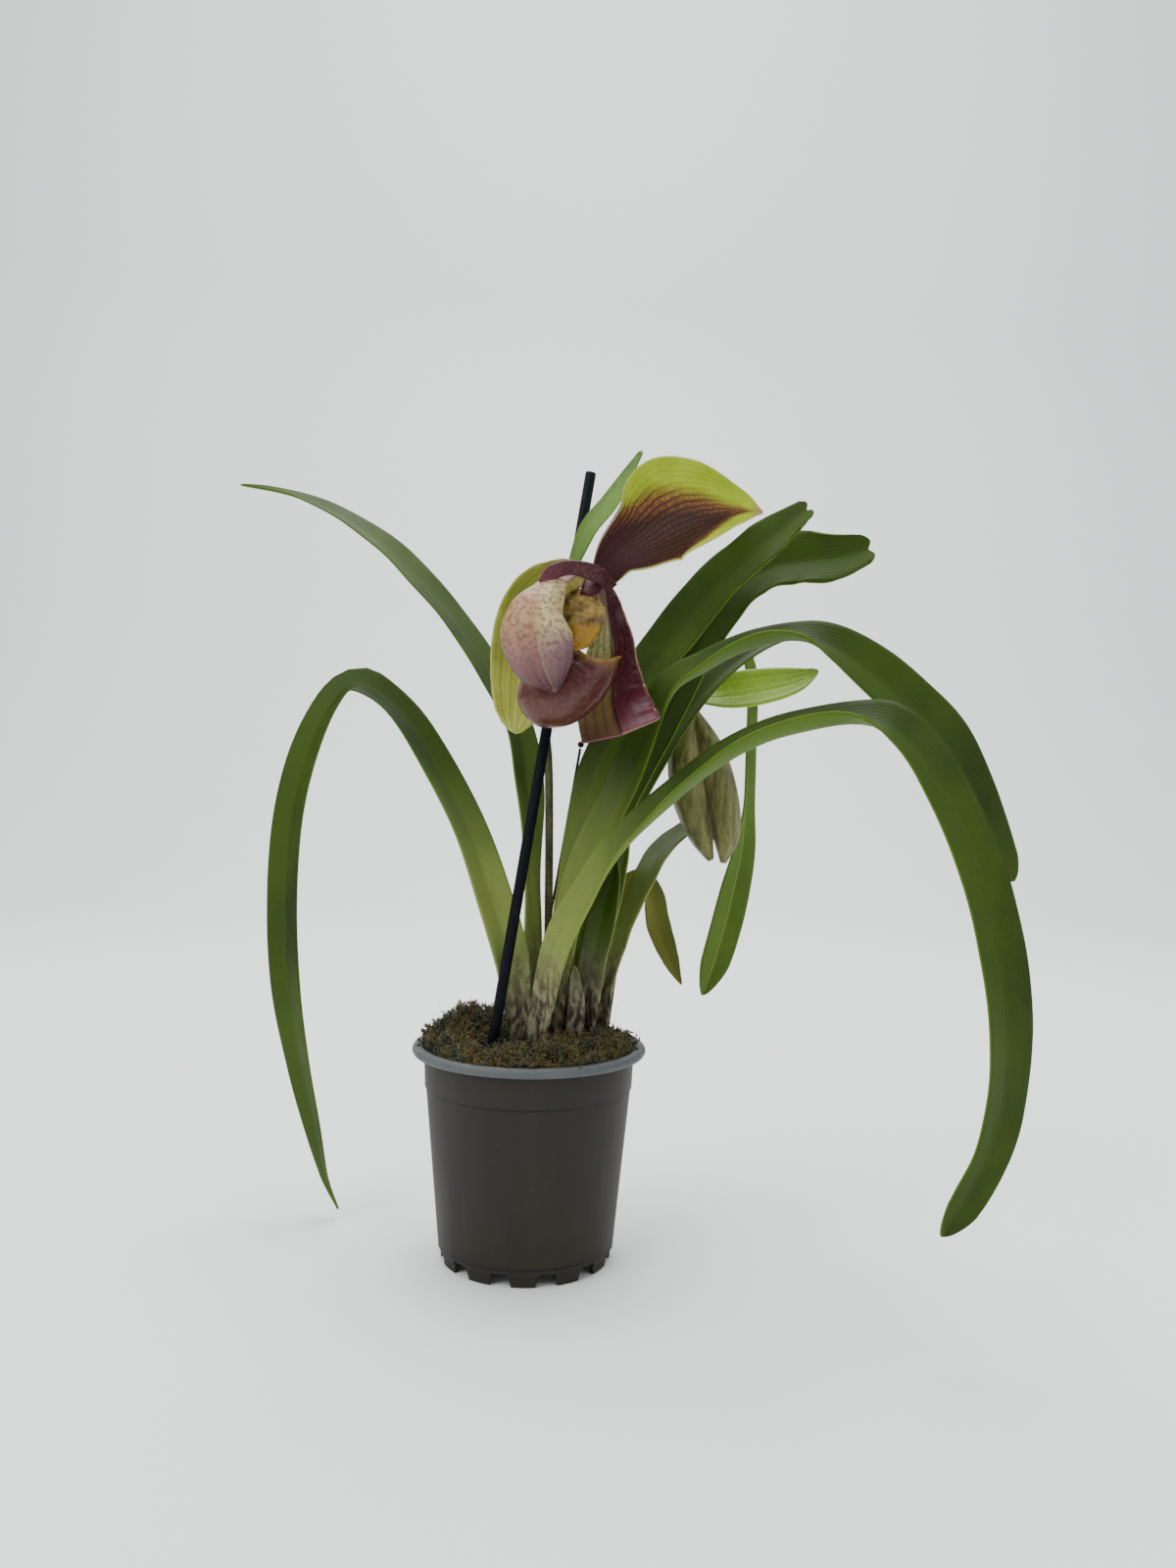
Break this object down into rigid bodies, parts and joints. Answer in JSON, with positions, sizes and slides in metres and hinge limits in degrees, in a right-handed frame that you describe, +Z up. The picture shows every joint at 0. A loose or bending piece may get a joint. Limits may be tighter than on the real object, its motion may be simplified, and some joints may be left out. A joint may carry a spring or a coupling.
{
  "type": "potted slipper orchid (Paphiopedilum)",
  "caption": "Slipper orchid in a 9 cm grey grow pot: arching strap leaves, one open lime and maroon flower, one closed flower, stake and moss.",
  "frame": {"origin": "centre of the pot's underside, on the gate pad of its moulding, in the plane it stands on", "axes": "+Z up; +Y away from the viewer who sees the open flower; +X to that viewer's right"},
  "size_m": [0.309, 0.1596, 0.3099],
  "materials": {
    "pot": "moulded, matt",
    "mix": "damp moss and bark",
    "rhizome": "woody, matt",
    "leaf": "waxy leaf, satin",
    "bract": "soft leaf, satin",
    "sepal": "sepal, satin",
    "petal": "petal, satin",
    "pouch": "pouch, glossy",
    "column": "waxy",
    "closed_flower": "hairy, matt",
    "scape": "hairy, matt",
    "stake": "plastic coated, satin"
  },
  "bodies": {
    "root": {"pot": "pot", "growing_mix": "mix", "rhizome": "rhizome", "leaf_hanging_left": "leaf", "leaf_upper_left": "leaf", "leaf_long_right_lower": "leaf", "leaf_long_right_upper": "leaf", "leaf_upright_notched": "leaf", "leaf_broad_behind": "leaf", "leaf_spoon_behind": "leaf", "leaf_twisted_small": "leaf", "leaf_dark_upright": "leaf", "leaf_sheath_front": "leaf", "leaf_pale_narrow": "leaf", "leaf_hanging_small": "leaf", "leaf_behind_right": "leaf", "scape_first_flower": "scape", "scape_second_flower": "scape", "bract_first_flower": "bract", "bract_second_flower": "bract", "dorsal_sepal": "sepal", "synsepal": "sepal", "petal_left": "petal", "petal_right": "petal", "pouch": "pouch", "column_staminode": "column", "closed_flower": "closed_flower", "stake": "stake", "wire_pin": "stake", "wire_pin_ball": "stake"}
  },
  "joints": []
}
